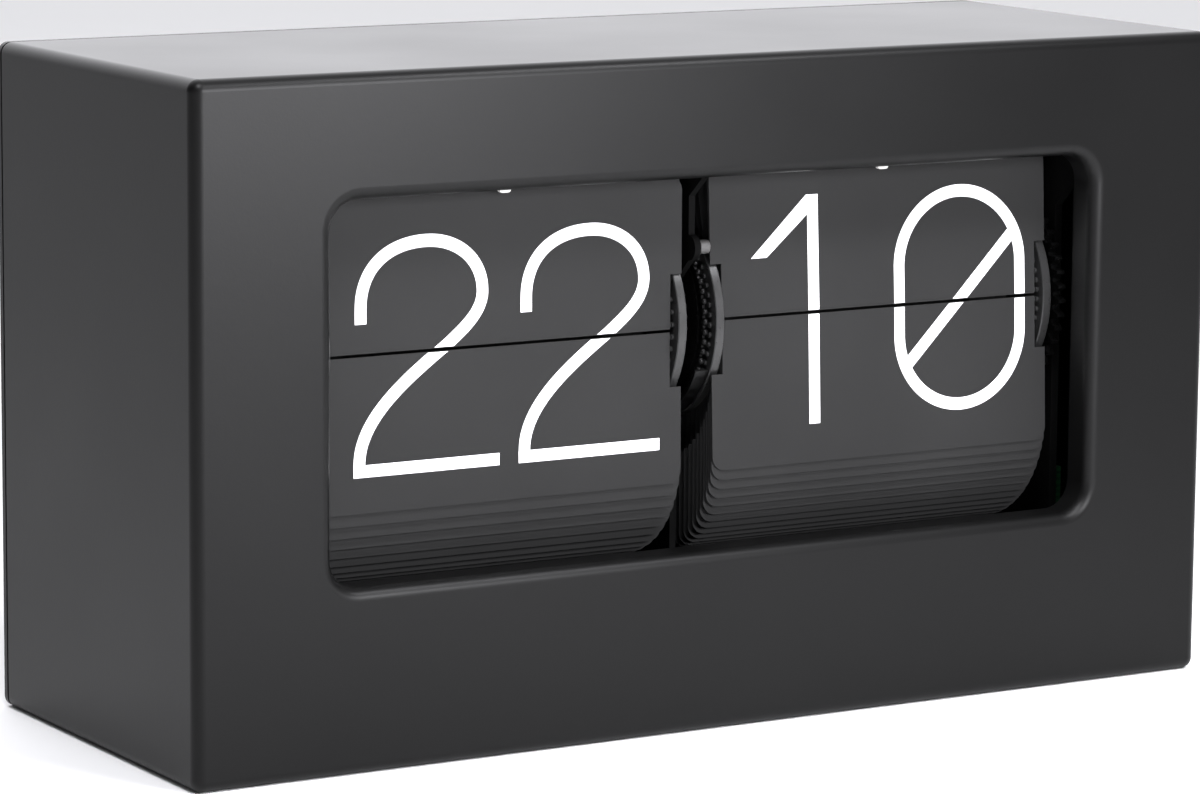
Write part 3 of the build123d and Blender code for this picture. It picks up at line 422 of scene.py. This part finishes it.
def one_outline(shift):
    """A 1: a stem with a flag, as one polygon cut into convex pieces."""
    left, right = 23.42 + shift, 25.62 + shift
    top, low = 88.45, 48.8
    flag_tip, flag_in, flag_top = 11.85 + shift, 15.05 + shift, 23.2 + shift
    flag_z, inner_z = 78.1, 85.1
    stem = [(left, low), (right, low), (right, top), (left, top)]
    flag = [(flag_tip, flag_z), (flag_in, flag_z), (left, inner_z), (left, top), (flag_top, top)]
    return [stem, flag]


def zero_outline():
    """A 0 with a slash. Its ring has straight sides and round ends."""
    middle = (55.05, 68.7)
    half_w, half_h = 12.78, 18.75
    ring = []
    for step in range(RING_STEPS):
        turn = 2 * math.pi * (step + 0.5) / RING_STEPS
        rise = math.copysign(half_h - half_w, math.sin(turn))
        ring.append((middle[0] + half_w * math.cos(turn), middle[1] + rise + half_w * math.sin(turn)))
    slash = ribbon([(43.9, 57.6), (66.2, 79.5)])
    return ribbon(ring, closed=True) + slash


def ribbon(line, closed=False):
    """Four-sided pieces of a stroke of constant width along a line."""
    count = len(line)
    sides = []
    for place in range(count):
        before = line[place - 1] if closed or place > 0 else line[place]
        after = line[(place + 1) % count] if closed or place < count - 1 else line[place]
        dx, dz = after[0] - before[0], after[1] - before[1]
        length = math.hypot(dx, dz)
        nx, nz = -dz / length * STROKE / 2, dx / length * STROKE / 2
        x, z = line[place]
        sides.append(((x + nx, z + nz), (x - nx, z - nz)))
    pieces = []
    for place in range(count if closed else count - 1):
        a, b = sides[place], sides[(place + 1) % count]
        pieces.append([a[0], b[0], b[1], a[1]])
    return pieces


def pin_of(joint):
    """Depth and height of a joint's axis, in millimetres."""
    return JOINTS[joint]["pos_m"][1] / MM, JOINTS[joint]["pos_m"][2] / MM


def turn_about(joint, degrees):
    """Rotation about a joint's axis, as the joint turns."""
    centre = Vector(JOINTS[joint]["pos_m"])
    turn = Matrix.Rotation(math.radians(degrees), 4, "X")
    return Matrix.Translation(centre) @ turn @ Matrix.Translation(-centre)


def limit(joint, end):
    """A joint's lower or upper limit in degrees."""
    return JOINTS[joint]["range_deg"][end]


def print_number(name, pieces, drum, upper, body, margin=PRINT_MARGIN, move=None):
    """One half of a number, raised from the front of a leaf by the thickness of its ink."""
    pin_y, pin_z = pin_of(f"{drum}_leaf_fall" if upper else f"{drum}_leaf_0_swing")
    slope = math.tan(math.radians(LEAN[drum] if upper else HANG[drum]))
    leaf_low, leaf_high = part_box(f"{drum}_leaf_falling" if upper else f"{drum}_leaf_0")
    split = (leaf_low[2] / MM + margin) if upper else (leaf_high[2] / MM - margin)
    flat = bmesh.new()
    for piece in pieces:
        flat.faces.new([flat.verts.new((x + NUMBER_MOVE[0], 0, z + NUMBER_MOVE[1])) for x, z in piece])
    bmesh.ops.remove_doubles(flat, verts=flat.verts, dist=MERGE)
    everything = flat.verts[:] + flat.edges[:] + flat.faces[:]
    bmesh.ops.bisect_plane(
        flat, geom=everything, plane_co=(0, 0, split), plane_no=(0, 0, 1),
        clear_inner=upper, clear_outer=not upper,
    )
    grown = bmesh.ops.extrude_face_region(flat, geom=flat.faces[:])
    for vertex in grown["geom"]:
        if isinstance(vertex, bmesh.types.BMVert):
            vertex.co.y -= PRINT_T
    for vertex in flat.verts:
        face_y = pin_y - LEAF_T / 2 + (vertex.co.z - pin_z) * slope
        vertex.co = Vector((vertex.co.x, vertex.co.y + face_y, vertex.co.z)) * MM
    if move:
        bmesh.ops.transform(flat, matrix=move, verts=flat.verts)
    bmesh.ops.recalc_face_normals(flat, faces=flat.faces)
    add_piece(flat, name, body, print_material)


def add_piece(shape, name, body, material):
    """Turns a bmesh into a named piece that rides on a body."""
    mesh = bpy.data.meshes.new(name)
    shape.to_mesh(mesh)
    shape.free()
    mesh.materials.append(material)
    piece = bpy.data.objects.new(name, mesh)
    bpy.context.scene.collection.objects.link(piece)
    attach(piece, body)
    return piece


def print_numbers():
    """The number shown, the next one on the leaf behind it and on the back of the falling leaf."""
    now = {
        "hour": two_outline(0) + two_outline(NUMBER_SHIFT),
        "minute": one_outline(0) + zero_outline(),
    }
    following = {
        "hour": now["hour"],
        "minute": one_outline(0) + one_outline(NUMBER_SHIFT),
    }
    for drum in ("hour", "minute"):
        step_back = turn_about(f"{drum}_drum_turn", -limit(f"{drum}_drum_turn", 1))
        unfall = turn_about(f"{drum}_leaf_fall", -limit(f"{drum}_leaf_fall", 1))
        swing = f"{drum}_leaf_next_swing"
        next_back = turn_about(swing, -(limit(swing, 0) + RANGE_SLACK))
        print_number(f"{drum}_number_upper", now[drum], drum, True, f"{drum}_leaf_falling")
        print_number(f"{drum}_number_lower", now[drum], drum, False, f"{drum}_leaf_0")
        print_number(
            f"{drum}_next_upper", following[drum], drum, True, f"{drum}_leaf_next",
            margin=HINGE_MARGIN, move=next_back @ step_back,
        )
        print_number(
            f"{drum}_next_lower", following[drum], drum, False, f"{drum}_leaf_falling",
            margin=HINGE_MARGIN, move=unfall @ step_back,
        )


# ---------------------------------------------------------------- star wheel


def make_star_wheel():
    """The star wheel with round beads, its hub and the two fingers that push the carry cam."""
    low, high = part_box("minute_star_wheel")
    finger_x, hub_x = low[0] / MM, high[0] / MM
    axis_y, axis_z = pin_of("minute_drum_turn")

    def around(x, radius, degrees):
        turn = math.radians(degrees)
        return Vector((x, axis_y + radius * math.cos(turn), axis_z + radius * math.sin(turn))) * MM

    profile = (
        (RIM_X[0], BORE_R),
        (RIM_X[0], RIM_R - RIM_BEVEL[1]),
        (RIM_X[0] + RIM_BEVEL[0], RIM_R),
        (WEB_X[0], RIM_R),
        (WEB_X[0], WEB_R),
        (WEB_X[1], WEB_R),
        (WEB_X[1], RIM_R),
        (RIM_X[1], RIM_R),
        (RIM_X[1], HUB_R),
        (hub_x, HUB_R - HUB_BEVEL),
        (hub_x, BORE_R),
    )
    shape = bmesh.new()
    sides = BEADS * SIDES_PER_BEAD
    rings = []
    for x, radius in profile:
        rings.append([shape.verts.new(around(x, radius, 360 * side / sides)) for side in range(sides)])
    for place, ring in enumerate(rings):
        following = rings[(place + 1) % len(rings)]
        for side in range(sides):
            beside = (side + 1) % sides
            shape.faces.new((ring[side], ring[beside], following[beside], following[side]))
    for bead in range(BEADS):
        place = around(sum(WEB_X) / 2, BEAD_RING_R, BEAD_PHASE + 360 * bead / BEADS)
        bmesh.ops.create_uvsphere(
            shape, u_segments=BEAD_SIDES[0], v_segments=BEAD_SIDES[1], radius=BEAD_R * MM,
            matrix=Matrix.Translation(place),
        )
    for angle in FINGERS:
        place = Matrix.Translation(around((finger_x + RIM_X[0]) / 2, FINGER_RING_R, angle))
        bmesh.ops.create_cone(
            shape, cap_ends=True, segments=FINGER_SIDES, radius1=FINGER_R * MM, radius2=FINGER_R * MM,
            depth=(RIM_X[0] - finger_x) * MM, matrix=place @ Matrix.Rotation(math.pi / 2, 4, "Y"),
        )
    bmesh.ops.recalc_face_normals(shape, faces=shape.faces)
    # The wheel takes gear_black, whose near black colour is painted shade
    wheel = add_piece(shape, "star_wheel_beaded", "minute_drum", materials["gear_black"])
    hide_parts("minute_star_wheel")
    wheel.data.shade_smooth()
    wheel.data.set_sharp_from_angle(angle=math.radians(SMOOTH_ANGLE))


# ---------------------------------------------------------------- floor, light, camera


def make_floor():
    """A plain pale floor."""
    finish = Finish("floor_pale", 0.9, specular=0.2)
    finish.shade(finish.noise(3, 2), 0.90, 0.92)
    shape = bmesh.new()
    bmesh.ops.create_grid(shape, x_segments=1, y_segments=1, size=FLOOR_SIZE)
    mesh = bpy.data.meshes.new("floor")
    shape.to_mesh(mesh)
    shape.free()
    mesh.materials.append(finish.material)
    floor = bpy.data.objects.new("floor", mesh)
    floor.location.z = cad_box[0][2]
    bpy.context.scene.collection.objects.link(floor)


def make_world():
    """A studio room: a bright backdrop behind the clock to the right, dim elsewhere."""
    world = bpy.data.worlds.new("studio")
    bpy.context.scene.world = world
    world.use_nodes = True
    nodes = world.node_tree.nodes
    links = world.node_tree.links
    facing = nodes.new("ShaderNodeVectorMath")
    facing.operation = "DOT_PRODUCT"
    facing.inputs[1].default_value = Vector(BACKDROP_SIDE).normalized()
    links.new(nodes.new("ShaderNodeTexCoord").outputs["Generated"], facing.inputs[0])
    strength = nodes.new("ShaderNodeMapRange")
    strength.interpolation_type = "SMOOTHSTEP"
    strength.inputs["From Min"].default_value = BACKDROP_EDGE[0]
    strength.inputs["From Max"].default_value = BACKDROP_EDGE[1]
    strength.inputs["To Min"].default_value = ROOM_LIGHT
    strength.inputs["To Max"].default_value = BACKDROP_LIGHT
    links.new(facing.outputs["Value"], strength.inputs["Value"])
    background = nodes["Background"]
    background.inputs["Color"].default_value = (*LIGHT_COLOUR, 1)
    links.new(strength.outputs["Result"], background.inputs["Strength"])


def add_softbox(name, place, aim, width, height, power):
    """A rectangular soft light at a place, facing a point."""
    data = bpy.data.lights.new(name, "AREA")
    data.shape = "RECTANGLE"
    data.size = width
    data.size_y = height
    data.energy = power
    data.color = LIGHT_COLOUR
    light = bpy.data.objects.new(name, data)
    light.visible_camera = False
    light.location = place
    light.rotation_euler = (Vector(aim) - Vector(place)).to_track_quat("-Z", "Y").to_euler()
    bpy.context.scene.collection.objects.link(light)


def make_camera():
    """A long lens at the front left, a little above the clock and rolled by under half a degree."""
    azimuth = math.radians(CAMERA_AZIMUTH)
    elevation = math.radians(CAMERA_ELEVATION)
    roll = math.radians(CAMERA_ROLL)
    back = Vector((
        math.sin(azimuth) * math.cos(elevation),
        -math.cos(azimuth) * math.cos(elevation),
        math.sin(elevation),
    ))
    right = (-back).cross(Vector((0, 0, 1))).normalized()
    up = right.cross(-back)
    tilted_right = math.cos(roll) * right + math.sin(roll) * up
    tilted_up = math.cos(roll) * up - math.sin(roll) * right
    middle = Vector((0, 0, (cad_box[0][2] + cad_box[1][2]) / 2))
    place = middle + CAMERA_ACROSS * MM * tilted_right + CAMERA_RISE * MM * tilted_up
    place += CAMERA_DISTANCE * MM * back
    data = bpy.data.cameras.new("camera")
    data.sensor_width = CAMERA_SENSOR
    data.lens = CAMERA_LENS
    data.clip_start = 0.01
    camera = bpy.data.objects.new("camera", data)
    turn = Matrix((tilted_right, tilted_up, back)).transposed().to_4x4()
    camera.matrix_world = Matrix.Translation(place) @ turn
    bpy.context.scene.collection.objects.link(camera)
    bpy.context.scene.camera = camera


materials = make_materials()
print_material = printed_white()
dress_frame(materials)
print_numbers()
make_star_wheel()
make_floor()
make_world()
for softbox in SOFTBOXES:
    add_softbox(*softbox)
make_camera()
bpy.context.scene.view_settings.view_transform = "Standard"
